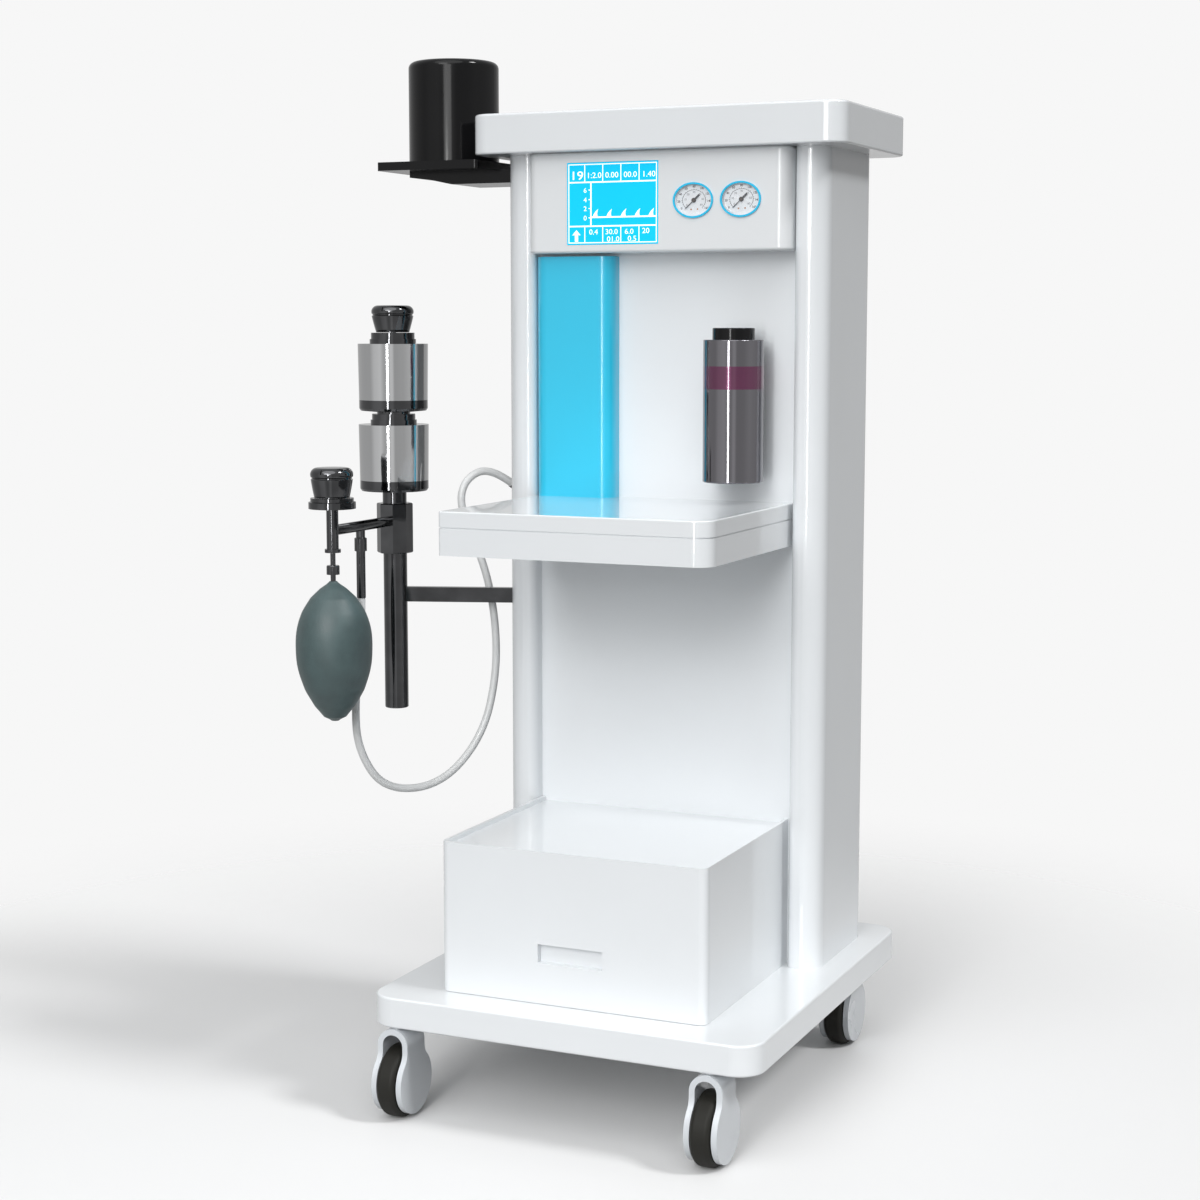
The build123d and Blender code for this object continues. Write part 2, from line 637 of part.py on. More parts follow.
with BuildPart() as canister_fittings:
    add(turned([(0, BLOCK_Z1), (18.2, BLOCK_Z1), (18.2, LOW_BASE_Z0 - 0.5), (30, LOW_BASE_Z0),
                (49.5, LOW_BASE_Z0 + 1.5), (CAN_R, LOW_BASE_Z0 + 5), (CAN_R, CAN2_Z0), (0, CAN2_Z0)],
               ARM_X, POLE_Y))
    add(turned([(0, MID_Z0), (34.9, MID_Z0), (34.9, MID_Z0 + 7), (32.7, MID_Z0 + 7),
                (32.7, UP_BASE_Z0 - 3.5), (25, UP_BASE_Z0 - 3.5), (25, UP_BASE_Z0 - 1), (36, UP_BASE_Z0),
                (49.5, UP_BASE_Z0 + 1.5), (CAN_R, UP_BASE_Z0 + 5), (CAN_R, CAN1_Z0), (0, CAN1_Z0)],
               ARM_X, POLE_Y))
    add(turned([(0, CAP_Z0), (34.9, CAP_Z0), (34.9, CAP_Z0 + 7), (32.8, CAP_Z0 + 7),
                (32.8, KNOB_Z0 - 0.5), (SPINDLE_R, KNOB_Z0 - 0.5), (SPINDLE_R, KNOB_Z0 + 16),
                (0, KNOB_Z0 + 16)], ARM_X, POLE_Y))
save(canister_fittings.part, "canister_fittings")


def control_knob(axis_x, axis_y, z0, wide, foot, height, name):
    """Tapered turning knob with a groove under its flat cap and a blind bore."""
    groove = z0 + height * 0.65
    top = z0 + height
    with BuildPart() as knob:
        with BuildSketch(Plane.XZ.offset(-axis_y)):
            with BuildLine():
                Polyline((axis_x, top), (axis_x, z0 + 18), (axis_x + SPINDLE_R + RUN_GAP, z0 + 18),
                         (axis_x + SPINDLE_R + RUN_GAP, z0), (axis_x + foot, z0),
                         (axis_x + foot, z0 + 1))
                Spline((axis_x + foot, z0 + 1), (axis_x + foot * 0.45 + wide * 0.55, z0 + height * 0.33),
                       (axis_x + wide - 0.3, groove - 2.2))
                Line((axis_x + wide - 0.3, groove - 2.2), (axis_x + wide - 1.6, groove - 0.8))
                Line((axis_x + wide - 1.6, groove - 0.8), (axis_x + wide - 1.6, groove + 0.4))
                Line((axis_x + wide - 1.6, groove + 0.4), (axis_x + wide - 0.2, groove + 1.8))
                Spline((axis_x + wide - 0.2, groove + 1.8), (axis_x + wide - 0.7, top - 5.6),
                       (axis_x + wide - 4.6, top - 1.5), (axis_x + wide - 10, top - 0.3))
                Line((axis_x + wide - 10, top - 0.3), (axis_x, top))
            make_face()
        revolve(axis=Axis((axis_x, axis_y, 0), (0, 0, 1)))
        with Locations((axis_x, axis_y - wide + 3.5, top - 9)):
            Box(1.6, 5, 8, align=(Align.CENTER, Align.MAX, Align.MIN), mode=Mode.SUBTRACT)
    save(knob.part, name)


control_knob(ARM_X, POLE_Y, KNOB_Z0, 31.6, 25.2, 40.5, "canister_knob")

APL_Z0 = 857.0
FLANGE_Z0 = 841.0
STEM_Z0 = 782.0

with BuildPart() as side_arm:
    with BuildSketch(Plane.XZ.offset(-POLE_Y + BLOCK_FLAT)):
        with Locations((ARM_X, SIDE_Z)):
            Circle(SIDE_R)
    extrude(amount=POLE_Y - BLOCK_FLAT - STEM_Y)
    with BuildSketch(Plane.XY.offset(STEM_Z0)):
        with Locations((ARM_X, STEM_Y)):
            Circle(8.7)
    extrude(amount=FLANGE_Z0 - STEM_Z0)
    add(turned([(0, SPOUT_Z0), (SPOUT_R, SPOUT_Z0), (SPOUT_R, 772), (9.2, 772), (9.2, 791),
                (SPOUT_R, 792), (SPOUT_R, SIDE_Z), (0, SIDE_Z)], ARM_X, SPOUT_Y))
save(side_arm.part, "side_arm")

with BuildPart() as apl_body:
    add(turned([(0, FLANGE_Z0), (34.2, FLANGE_Z0),
                (34.2, FLANGE_Z0 + 9.5), (31.3, FLANGE_Z0 + 10.5), (31.3, APL_Z0 - 0.5),
                (SPINDLE_R, APL_Z0 - 0.5), (SPINDLE_R, APL_Z0 + 16), (0, APL_Z0 + 16)], ARM_X, STEM_Y))
save(apl_body.part, "apl_body")

control_knob(ARM_X, STEM_Y, APL_Z0, 30.6, 25.8, 43.5, "apl_knob")

BAG_TOP = 735.0
with BuildPart() as bag_connector:
    add(turned([(0, BAG_TOP), (3.8, BAG_TOP), (3.8, 745), (9.5, 745), (9.5, 757), (8.5, 758.3),
                (3.8, 758.3), (3.8, 777), (11.7, 777), (11.7, STEM_Z0), (0, STEM_Z0)], ARM_X, STEM_Y))
save(bag_connector.part, "bag_connector")

BAG_Z = [735, 724, 711, 690, 665, 639, 608, 576, 552, 536, 529]
BAG_RAD = [6, 20, 33.5, 46.5, 54.2, 56.2, 53.6, 43.8, 30, 17, 6]

with BuildPart() as breathing_bag:
    with BuildSketch(Plane.XZ.offset(-STEM_Y)):
        with BuildLine():
            Spline(*[(ARM_X + r, z) for z, r in zip(BAG_Z, BAG_RAD)])
            Polyline((ARM_X + BAG_RAD[-1], BAG_Z[-1]), (ARM_X, BAG_Z[-1]), (ARM_X, BAG_Z[-1] + 3),
                     (ARM_X + 4, BAG_Z[-1] + 3))
            Spline((ARM_X + 4, BAG_Z[-1] + 3),
                   *[(ARM_X + r - 2, z + (1 if z < 600 else -0.5)) for z, r in
                     reversed(list(zip(BAG_Z[1:-1], BAG_RAD[1:-1])))],
                   (ARM_X + 3, BAG_Z[0] - 4))
            Polyline((ARM_X + 3, BAG_Z[0] - 4), (ARM_X + 3, BAG_Z[0]), (ARM_X + BAG_RAD[0], BAG_Z[0]))
        make_face()
    revolve(axis=Axis((ARM_X, STEM_Y, 0), (0, 0, 1)))
save(breathing_bag.part, "breathing_bag")

# ---------------------------------------------------------------- hose and port
HOSE_PLAN = math.hypot(-249.5 - ARM_X, 75.0 - SPOUT_Y)
HOSE_DX = (-249.5 - ARM_X) / HOSE_PLAN
HOSE_DY = (75.0 - SPOUT_Y) / HOSE_PLAN
HOSE_SZ = [(0, 702), (0, 640), (-13, 545), (-9, 472), (34, 406), (128, 404), (200, 474), (225, 570),
           (223, 660), (204, 745), (163, 828), (171, 872), (214, 890.6), (252, 864)]
HOSE_PTS = [Vector(ARM_X + s * HOSE_DX, SPOUT_Y + s * HOSE_DY, z) for s, z in HOSE_SZ]


def corner_radii(points):
    """Arc radius at each inner corner: 0.45 of the shorter run over tan(half turn)."""
    radii = []
    for a, b, c in zip(points, points[1:], points[2:]):
        run_in = b - a
        run_out = c - b
        turn = math.radians(run_in.get_angle(run_out))
        radii.append(0.45 * min(run_in.length, run_out.length) / math.tan(turn / 2))
    return radii


HOSE_RADII = corner_radii(HOSE_PTS)
print("hose radii", [round(r, 1) for r in HOSE_RADII])

with BuildPart() as hose:
    with BuildLine() as hose_line:
        FilletPolyline(*HOSE_PTS, radius=HOSE_RADII)
    with BuildSketch(Plane(origin=HOSE_PTS[0], z_dir=HOSE_PTS[1] - HOSE_PTS[0])):
        Circle(HOSE_R)
        Circle(HOSE_BORE, mode=Mode.SUBTRACT)
    sweep(path=hose_line.wire())
HOSE_LEN = hose_line.wire().length
HOSE_VOL = math.pi * (HOSE_R ** 2 - HOSE_BORE ** 2) * HOSE_LEN
print("hose length", round(HOSE_LEN, 1), "volume ratio", round(hose.part.volume / HOSE_VOL, 4))
save(hose.part, "hose")

SPIGOT_LEN = 26.0
SPIGOT_DIR = (HOSE_PTS[-2] - HOSE_PTS[-1]).normalized()
ELBOW = HOSE_PTS[-1] - SPIGOT_DIR * SPIGOT_LEN

with BuildPart() as hose_port:
    with BuildSketch(Plane(origin=ELBOW, z_dir=SPIGOT_DIR)):
        Circle(SPOUT_R)
    extrude(amount=SPIGOT_LEN)
    with Locations(ELBOW):
        Sphere(9)
    with BuildSketch(Plane.YZ.offset(ELBOW.X)):
        with Locations((ELBOW.Y, ELBOW.Z)):
            Circle(9)
    extrude(amount=-COL_OUT - ELBOW.X)
    with BuildSketch(Plane.YZ.offset(-COL_OUT - 3)):
        with Locations((ELBOW.Y, ELBOW.Z)):
            Circle(15)
    extrude(amount=3)
save(hose_port.part, "hose_port")

# ---------------------------------------------------------------- casters
CASTERS = [(x, y) for y in CASTER_YS for x in CASTER_XS]
CASTER_NAMES = ["front_left", "front_right", "rear_left", "rear_right"]

with BuildPart() as caster_mounts:
    with BuildSketch(Plane.XY.offset(FORK_TOP + 0.4)):
        with Locations(*CASTERS):
            Circle(20)
    extrude(amount=BASE_Z0 - FORK_TOP - 0.4)
    with BuildSketch(Plane.XY.offset(FORK_UNDER - 4)):
        with Locations(*CASTERS):
            Circle(PIN_R)
    extrude(amount=FORK_TOP - FORK_UNDER + 5)
save(caster_mounts.part, "caster_mounts")

for (cx, cy), name in zip(CASTERS, CASTER_NAMES):
    with BuildPart() as fork:
        with BuildSketch(Plane.YZ.offset(cx - FORK_OUT)) as cheek:
            with Locations((cy, WHEEL_R)):
                Circle(FORK_DISC_R)
            with Locations((cy, WHEEL_R)):
                Rectangle(FORK_NECK, FORK_TOP - WHEEL_R, align=(Align.CENTER, Align.MIN))
            fillet(cheek.vertices().group_by(Axis.Y)[-2], FORK_FLARE)
        extrude(amount=2 * FORK_OUT)
        with BuildSketch(Plane.XZ.offset(-cy - 60)):
            with Locations((cx, FORK_TOP - FORK_OUT)):
                Circle(FORK_OUT)
            with Locations((cx, 0)):
                Rectangle(2 * FORK_OUT, FORK_TOP - FORK_OUT, align=(Align.CENTER, Align.MIN))
            with Locations((cx, FORK_UNDER - FORK_IN)):
                Circle(FORK_IN, mode=Mode.SUBTRACT)
            with Locations((cx, 0)):
                Rectangle(2 * FORK_IN, FORK_UNDER - FORK_IN, align=(Align.CENTER, Align.MIN), mode=Mode.SUBTRACT)
        extrude(amount=120, mode=Mode.INTERSECT)
        with Locations((cx, cy, FORK_UNDER - 8)):
            Cylinder(PIN_R + RUN_GAP, FORK_TOP - FORK_UNDER + 9,
                     align=(Align.CENTER, Align.CENTER, Align.MIN), mode=Mode.SUBTRACT)
        with BuildSketch(Plane.YZ.offset(cx - FORK_OUT)):
            with Locations((cy, WHEEL_R)):
                Circle(AXLE_R)
        extrude(amount=2 * FORK_OUT)
    save(fork.part, "fork_" + name)

    with BuildPart() as wheel:
        with BuildSketch(Plane.YZ.offset(cx - WHEEL_HALF_W + 1)):
            with Locations((cy, WHEEL_R)):
                Circle(TYRE_IN_R)
                Circle(AXLE_R + RUN_GAP, mode=Mode.SUBTRACT)
        extrude(amount=2 * WHEEL_HALF_W - 2)
        with BuildSketch(Plane.YZ.offset(cx - FORK_IN + 0.5)):
            with Locations((cy, WHEEL_R)):
                Circle(10)
                Circle(AXLE_R + RUN_GAP, mode=Mode.SUBTRACT)
        extrude(amount=2 * FORK_IN - 1)
    save(wheel.part, "wheel_" + name)

    with BuildPart() as tyre:
        with BuildSketch(Plane.YZ.offset(cx - WHEEL_HALF_W)):
            with Locations((cy, WHEEL_R)):
                Circle(WHEEL_R)
        extrude(amount=2 * WHEEL_HALF_W)
        fillet(tyre.edges(), 7)
        with BuildSketch(Plane.YZ.offset(cx - WHEEL_HALF_W)):
            with Locations((cy, WHEEL_R)):
                Circle(TYRE_IN_R)
        extrude(amount=2 * WHEEL_HALF_W, mode=Mode.SUBTRACT)
    save(tyre.part, "tyre_" + name)

boxes = [body.bounding_box() for name, body in built.items() if name != "hose"]
low = [min(b.min.X for b in boxes), min(b.min.Y for b in boxes), min(b.min.Z for b in boxes)]
high = [max(b.max.X for b in boxes), max(b.max.Y for b in boxes), max(b.max.Z for b in boxes)]
print("box", [round(v, 2) for v in low], [round(v, 2) for v in high])
print("nodes", len(built))
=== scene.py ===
import json
import math

import bpy
import bmesh
from mathutils import Matrix, Vector, noise


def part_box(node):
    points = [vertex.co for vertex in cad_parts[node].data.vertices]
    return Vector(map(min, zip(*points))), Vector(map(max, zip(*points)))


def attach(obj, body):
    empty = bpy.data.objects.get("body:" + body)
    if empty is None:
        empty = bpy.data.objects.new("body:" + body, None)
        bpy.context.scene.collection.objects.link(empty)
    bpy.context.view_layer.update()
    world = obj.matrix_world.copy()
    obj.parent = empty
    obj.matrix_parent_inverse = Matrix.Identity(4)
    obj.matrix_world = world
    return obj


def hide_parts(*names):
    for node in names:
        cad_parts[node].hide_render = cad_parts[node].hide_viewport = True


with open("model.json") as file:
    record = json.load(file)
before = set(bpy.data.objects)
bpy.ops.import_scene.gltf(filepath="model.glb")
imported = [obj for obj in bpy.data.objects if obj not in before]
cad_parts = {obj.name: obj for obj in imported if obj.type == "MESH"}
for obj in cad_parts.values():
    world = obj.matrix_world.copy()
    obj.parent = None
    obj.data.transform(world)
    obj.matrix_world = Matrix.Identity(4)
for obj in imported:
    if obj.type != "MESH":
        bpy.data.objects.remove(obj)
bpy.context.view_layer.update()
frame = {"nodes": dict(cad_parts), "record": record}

NODES = frame["nodes"]
SHIFT = Vector((0.0951, 0.0805, 0.0))
SENSOR, LENS_LENGTH = 36.0, 66.36


def cart(x, y, z):
    """A point of the trolley's own frame, in millimetres, in the row frame in metres."""
    return Vector((x / 1000, y / 1000, z / 1000)) + SHIFT


# ------------------------------------------------------------------ camera
cam_data = bpy.data.cameras.new("camera")
camera = bpy.data.objects.new("camera", cam_data)
bpy.context.scene.collection.objects.link(camera)
bpy.context.scene.camera = camera
YAW, PITCH = math.radians(24.04), math.radians(7.09)
forward = Vector((-math.sin(YAW) * math.cos(PITCH), math.cos(YAW) * math.cos(PITCH), -math.sin(PITCH)))
right = Vector((math.cos(YAW), math.sin(YAW), 0))
upward = right.cross(forward)
camera.location = cart(1232.0, -2998.6, 1104.7)
camera.rotation_euler = Matrix((right, upward, -forward)).transposed().to_euler()
cam_data.sensor_width = SENSOR
cam_data.lens = LENS_LENGTH
cam_data.clip_start = 0.05
cam_data.clip_end = 60.0

# ------------------------------------------------------------------ hose
ARM_X, SPOUT_Y = -423.0, -160.0
plan = Vector((-249.5 - ARM_X, 75.0 - SPOUT_Y)).normalized()
ROUTE = [(0, 702), (0, 640), (-13, 545), (-9, 472), (34, 406), (128, 404), (200, 474), (225, 570),
         (223, 660), (204, 745), (163, 828), (171, 872), (214, 890.6), (252, 864)]
HOSE_RADIUS = 0.0059
hose_points = [cart(ARM_X + s * plan.x, SPOUT_Y + s * plan.y, z) for s, z in ROUTE]
hose_curve = bpy.data.curves.new("breathing_hose", "CURVE")
hose_curve.dimensions = "3D"
run = hose_curve.splines.new("NURBS")
run.points.add(len(hose_points) - 1)
for point, co in zip(run.points, hose_points):
    point.co = (*co, 1.0)
    point.radius = HOSE_RADIUS
run.order_u = 3
run.use_endpoint_u = True
run.resolution_u = 12
hose_curve.bevel_depth = 1.0
hose_curve.bevel_resolution = 6
hose_curve.use_fill_caps = True
hose = bpy.data.objects.new("breathing_hose", hose_curve)
bpy.context.scene.collection.objects.link(hose)
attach(hose, "frame")
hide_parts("hose")


# ------------------------------------------------------------------ materials
def surface(name, colour, rough, metal=0.0, shade=0.03, rough_spread=0.04, grain=0.0, grain_scale=400.0,
            cloud_scale=6.0, coat=0.0, coat_rough=0.05, specular=0.5, glow=0.0, streaks=None, opacity=1.0):
    """A procedural finish: cloudy colour and roughness, fine grain in the bump."""
    mat = bpy.data.materials.new(name)
    mat.use_nodes = True
    tree = mat.node_tree
    nodes, links = tree.nodes, tree.links
    shader = nodes["Principled BSDF"]
    shader.inputs["Metallic"].default_value = metal
    shader.inputs["IOR"].default_value = 1.45
    shader.inputs["Specular IOR Level"].default_value = specular
    shader.inputs["Coat Weight"].default_value = coat
    shader.inputs["Coat Roughness"].default_value = coat_rough
    shader.inputs["Alpha"].default_value = opacity
    place = nodes.new("ShaderNodeTexCoord")
    source = place.outputs["Object"]
    if streaks:
        stretch = nodes.new("ShaderNodeMapping")
        stretch.inputs["Scale"].default_value = streaks
        links.new(place.outputs["Object"], stretch.inputs["Vector"])
        source = stretch.outputs["Vector"]
    cloud = nodes.new("ShaderNodeTexNoise")
    cloud.inputs["Scale"].default_value = cloud_scale
    cloud.inputs["Detail"].default_value = 4.0
    links.new(source, cloud.inputs["Vector"])
    tint = nodes.new("ShaderNodeValToRGB")
    low = [max(0.0, c * (1 - shade)) for c in colour[:3]]
    high = [min(1.0, c * (1 + shade)) for c in colour[:3]]
    tint.color_ramp.elements[0].color = (*low, 1)
    tint.color_ramp.elements[0].position = 0.3
    tint.color_ramp.elements[1].color = (*high, 1)
    tint.color_ramp.elements[1].position = 0.7
    links.new(cloud.outputs["Fac"], tint.inputs["Fac"])
    links.new(tint.outputs["Color"], shader.inputs["Base Color"])
    if glow:
        links.new(tint.outputs["Color"], shader.inputs["Emission Color"])
        shader.inputs["Emission Strength"].default_value = glow
    fine = nodes.new("ShaderNodeTexNoise")
    fine.inputs["Scale"].default_value = grain_scale
    fine.inputs["Detail"].default_value = 3.0
    links.new(source, fine.inputs["Vector"])
    spread = nodes.new("ShaderNodeMapRange")
    spread.inputs["From Min"].default_value = 0.3
    spread.inputs["From Max"].default_value = 0.7
    spread.inputs["To Min"].default_value = max(0.01, rough - rough_spread)
    spread.inputs["To Max"].default_value = rough + rough_spread
    links.new(cloud.outputs["Fac"], spread.inputs["Value"])
    links.new(spread.outputs["Result"], shader.inputs["Roughness"])
    if grain:
        bump = nodes.new("ShaderNodeBump")
        bump.inputs["Strength"].default_value = grain
        bump.inputs["Distance"].default_value = 0.0004
        links.new(fine.outputs["Fac"], bump.inputs["Height"])
        links.new(bump.outputs["Normal"], shader.inputs["Normal"])
    return mat


WHITE = surface("white_enamel", (0.79, 0.815, 0.835), 0.30, shade=0.010, rough_spread=0.015, grain=0.012,
                grain_scale=160, coat=1.0, coat_rough=0.05)
SHELF = surface("white_shelf", (0.79, 0.815, 0.835), 0.22, shade=0.010, rough_spread=0.015, grain=0.012,
                grain_scale=160, coat=1.0, coat_rough=0.05)
HEAD = surface("head_white", (0.79, 0.81, 0.825), 0.34, shade=0.010, rough_spread=0.02, grain=0.03,
               grain_scale=500, coat=0.5, coat_rough=0.12)
BACK = surface("back_white", (0.79, 0.815, 0.835), 0.32, shade=0.010, rough_spread=0.02, grain=0.015,
               grain_scale=160, coat=0.3, coat_rough=0.15)
ZINC = surface("zinc", (0.55, 0.56, 0.58), 0.35, metal=1.0, grain=0.1, grain_scale=120, cloud_scale=60,
               shade=0.08)
BOARD = surface("board", (0.03, 0.12, 0.06), 0.5, grain=0.1)
SCREEN = surface("screen", (0.008, 0.64, 1.0), 0.2, shade=0.015, glow=0.18, specular=0.1, coat=0.1,
                 coat_rough=0.1)
CYAN = surface("gauge_ring", (0.010, 0.56, 0.88), 0.25, shade=0.04, coat=0.3, grain=0.02)
DIAL = surface("gauge_face", (0.86, 0.875, 0.90), 0.25, metal=0.05, shade=0.03,
               cloud_scale=55, grain=0.02)
LENS = surface("gauge_glass", (0.9, 0.95, 1.0), 0.03, shade=0.0, rough_spread=0.01, opacity=0.05)
NEEDLE = surface("needle", (0.015, 0.015, 0.018), 0.35, grain=0.05)
BLUE = surface("blue_paint", (0.018, 0.56, 0.82), 0.30, shade=0.012, rough_spread=0.015, grain=0.012,
               grain_scale=160, coat=0.8, coat_rough=0.06)
STEEL = surface("polished_steel", (0.19, 0.185, 0.20), 0.10, metal=1.0, shade=0.06, rough_spread=0.03,
                grain=0.03, streaks=(1, 1, 0.05), grain_scale=900, cloud_scale=30)
PLUM = surface("band_plum", (0.108, 0.017, 0.063), 0.18, metal=0.4, shade=0.12, coat=0.8, grain=0.03)
BLACK = surface("black_gloss", (0.004, 0.004, 0.0045), 0.14, shade=0.2, specular=0.26, grain=0.03)
CHROME = surface("black_chrome", (0.085, 0.086, 0.089), 0.07, metal=1.0, shade=0.15, rough_spread=0.02,
                 grain=0.04, grain_scale=500, cloud_scale=30)
CANISTER = surface("canister_steel", (0.50, 0.505, 0.51), 0.09, metal=1.0, shade=0.05, rough_spread=0.03,
                   grain=0.03, streaks=(1, 1, 0.05), grain_scale=900, cloud_scale=30)
TRAY = surface("tray_black", (0.002, 0.002, 0.0025), 0.2, shade=0.2, specular=0.3, grain=0.04,
               grain_scale=700)
RUBBER = surface("bellows_rubber", (0.02, 0.02, 0.02), 0.6, grain=0.2)
BAG = surface("bag_rubber", (0.058, 0.092, 0.094), 0.48, shade=0.14, rough_spread=0.06, grain=0.7,
              grain_scale=620, cloud_scale=38, specular=0.55, coat=0.12, coat_rough=0.4)
HOSE = surface("hose_silicone", (0.72, 0.73, 0.73), 0.34, shade=0.04, grain=0.10, cloud_scale=60,
               coat=0.4, coat_rough=0.2)
FORK = surface("caster_grey", (0.64, 0.67, 0.70), 0.26, grain=0.04, coat=0.5, coat_rough=0.1)
HUB = surface("wheel_hub", (0.42, 0.43, 0.44), 0.4, grain=0.12, grain_scale=500)
TYRE = surface("tyre", (0.013, 0.0125, 0.010), 0.6, shade=0.2, grain=0.3, grain_scale=500, specular=0.28)
INK = surface("white_ink", (0.95, 0.97, 1.0), 0.4, shade=0.01, glow=0.55)
PRINT = surface("black_print", (0.012, 0.012, 0.014), 0.5, shade=0.1)
FAINT = surface("grey_print", (0.12, 0.125, 0.135), 0.5, shade=0.1)
CAP = surface("needle_cap", (0.035, 0.022, 0.014), 0.35, shade=0.15)
ORANGE = surface("orange_dot", (0.42, 0.17, 0.05), 0.4, shade=0.1)

FINISH = {
    "white_enamel": WHITE, "white_shelf": SHELF, "head_white": HEAD, "back_white": BACK, "galvanised": ZINC,
    "board": BOARD, "screen": SCREEN, "gauge_ring": CYAN, "gauge_face": DIAL, "gauge_glass": LENS,
    "needle": NEEDLE, "blue_paint": BLUE, "polished_steel": STEEL, "band_plum": PLUM, "black_gloss": BLACK,
    "black_chrome": CHROME, "canister_steel": CANISTER, "tray_black": TRAY, "bellows_rubber": RUBBER,
    "bag_rubber": BAG, "hose_silicone": HOSE, "caster_grey": FORK, "wheel_hub": HUB, "tyre": TYRE,
}
for part in frame["record"]["subparts"]:
    node = NODES[part["node"]]
    for slot in node.material_slots:
        slot.material = FINISH[part["material_slot"]]
hose.data.materials.append(HOSE)


# ------------------------------------------------------------------ helpers
def piece(name, mesh, mat, body, smooth=True):
    """Put a finished mesh in the scene, riding on a body."""
    obj = bpy.data.objects.new(name, mesh)
    bpy.context.scene.collection.objects.link(obj)
    mesh.materials.clear()
    mesh.materials.append(mat)
    for poly in mesh.polygons:
        poly.use_smooth = smooth
    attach(obj, body)
    return obj


def plate(bm, outline, y_front, thick):
    """A flat shape in the x-z plane, facing the user, given as points in metres."""
    front = [bm.verts.new((x, y_front, z)) for x, z in outline]
    back = [bm.verts.new((x, y_front + thick, z)) for x, z in outline]
    count = len(outline)
    area = sum(outline[i][0] * outline[(i + 1) % count][1] - outline[(i + 1) % count][0] * outline[i][1]
               for i in range(count))
    if area < 0:
        front.reverse()
        back.reverse()
    bm.faces.new(front)
    bm.faces.new(list(reversed(back)))
    for i in range(count):
        j = (i + 1) % count
        bm.faces.new((front[j], front[i], back[i], back[j]))


def letters(bm, text, size, x, z, y_front, thick, bold=0.0, wide=1.0):
    """Flat numerals standing on the baseline z, centred on x."""
    curve = bpy.data.curves.new("numerals", "FONT")
    curve.body = text
    curve.size = size
    curve.align_x = "CENTER"
    curve.offset = bold
    curve.extrude = thick / 2
    curve.resolution_u = 3
    holder = bpy.data.objects.new("numerals", curve)
    bpy.context.scene.collection.objects.link(holder)
    mesh = bpy.data.meshes.new_from_object(holder.evaluated_get(bpy.context.evaluated_depsgraph_get()))
    upright = Matrix.Rotation(math.pi / 2, 4, "X") @ Matrix.Diagonal((wide, 1, 1, 1))
    mesh.transform(Matrix.Translation((x, y_front + thick / 2, z)) @ upright)
    bm.from_mesh(mesh)
    bpy.data.objects.remove(holder)
    bpy.data.curves.remove(curve)
    bpy.data.meshes.remove(mesh)


def disc(bm, x, z, radius, sides, y_front, thick):
    """A flat round shape with its centre at x, z."""
    turn = 2 * math.pi / sides
    plate(bm, [(x + radius * math.cos(k * turn), z + radius * math.sin(k * turn)) for k in range(sides)],
          y_front, thick)


def finished(bm, name):
    """Turn a bmesh into a mesh and free it."""
    mesh = bpy.data.meshes.new(name)
    bm.to_mesh(mesh)
    bm.free()
    return mesh


# ------------------------------------------------------------------ screen graphics
lo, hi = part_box("display_glass")
SW, SH = hi.x - lo.x, hi.z - lo.z
FACE = lo.y
INK_T = 0.00012


def sx(f):
    """Across the screen, as a fraction of its width."""
    return lo.x + f * SW


def sz(f):
    """Down the screen, as a fraction of its height."""
    return hi.z - f * SH


def bar(bm, x0, x1, z0, z1):
    """A straight line on the screen, between fractions of its width and height."""
    plate(bm, [(sx(x0), sz(z0)), (sx(x1), sz(z0)), (sx(x1), sz(z1)), (sx(x0), sz(z1))], FACE - INK_T, INK_T)


def ink_text(text, size, at, level, **style):
    """White text on the screen, centred at one fraction and standing on the other."""
    letters(graphics, text, size, sx(at), sz(level), FACE - INK_T, INK_T, **style)


graphics = bmesh.new()
LW, LH = 0.009, 0.011
BORDER_X, BORDER_Z = 0.014, 0.018
UPPER_ROW, LOWER_ROW = 0.240, 0.775
COLUMNS = (0.196, 0.395, 0.594, 0.793)
AXIS, BASELINE = 0.264, 0.667
bar(graphics, BORDER_X, 1 - BORDER_X, BORDER_Z, BORDER_Z + LH)
bar(graphics, BORDER_X, 1 - BORDER_X, 1 - BORDER_Z - LH, 1 - BORDER_Z)
bar(graphics, BORDER_X, BORDER_X + LW, BORDER_Z + LH, 1 - BORDER_Z - LH)
bar(graphics, 1 - BORDER_X - LW, 1 - BORDER_X, BORDER_Z + LH, 1 - BORDER_Z - LH)
for row in (UPPER_ROW, LOWER_ROW):
    bar(graphics, BORDER_X + LW, 1 - BORDER_X - LW, row - LH * 0.75, row + LH * 0.75)
for column in COLUMNS:
    bar(graphics, column - LW / 2, column + LW / 2, BORDER_Z + LH, UPPER_ROW - LH * 0.75)
    bar(graphics, column - LW / 2, column + LW / 2, LOWER_ROW + LH * 0.75, 1 - BORDER_Z - LH)
bar(graphics, AXIS - LW * 0.8, AXIS + LW * 0.8, UPPER_ROW + LH * 0.75, 0.765)
bar(graphics, AXIS + LW * 0.8, 1 - BORDER_X - LW, BASELINE - LH * 0.8, BASELINE + LH * 0.8)
for value, level in (("6", 0.335), ("4", 0.451), ("2", 0.559), ("0", 0.673)):
    ink_text(value, 0.0096, 0.200, level + 0.030, wide=1.10)
    bar(graphics, 0.238, AXIS - LW * 0.8, level - LH * 0.5, level + LH * 0.5)
FIN = [(0.0, 0.0), (0.010, 0.014), (0.022, 0.042), (0.040, 0.070), (0.068, 0.099), (0.060, 0.070),
       (0.057, 0.042), (0.062, 0.0)]
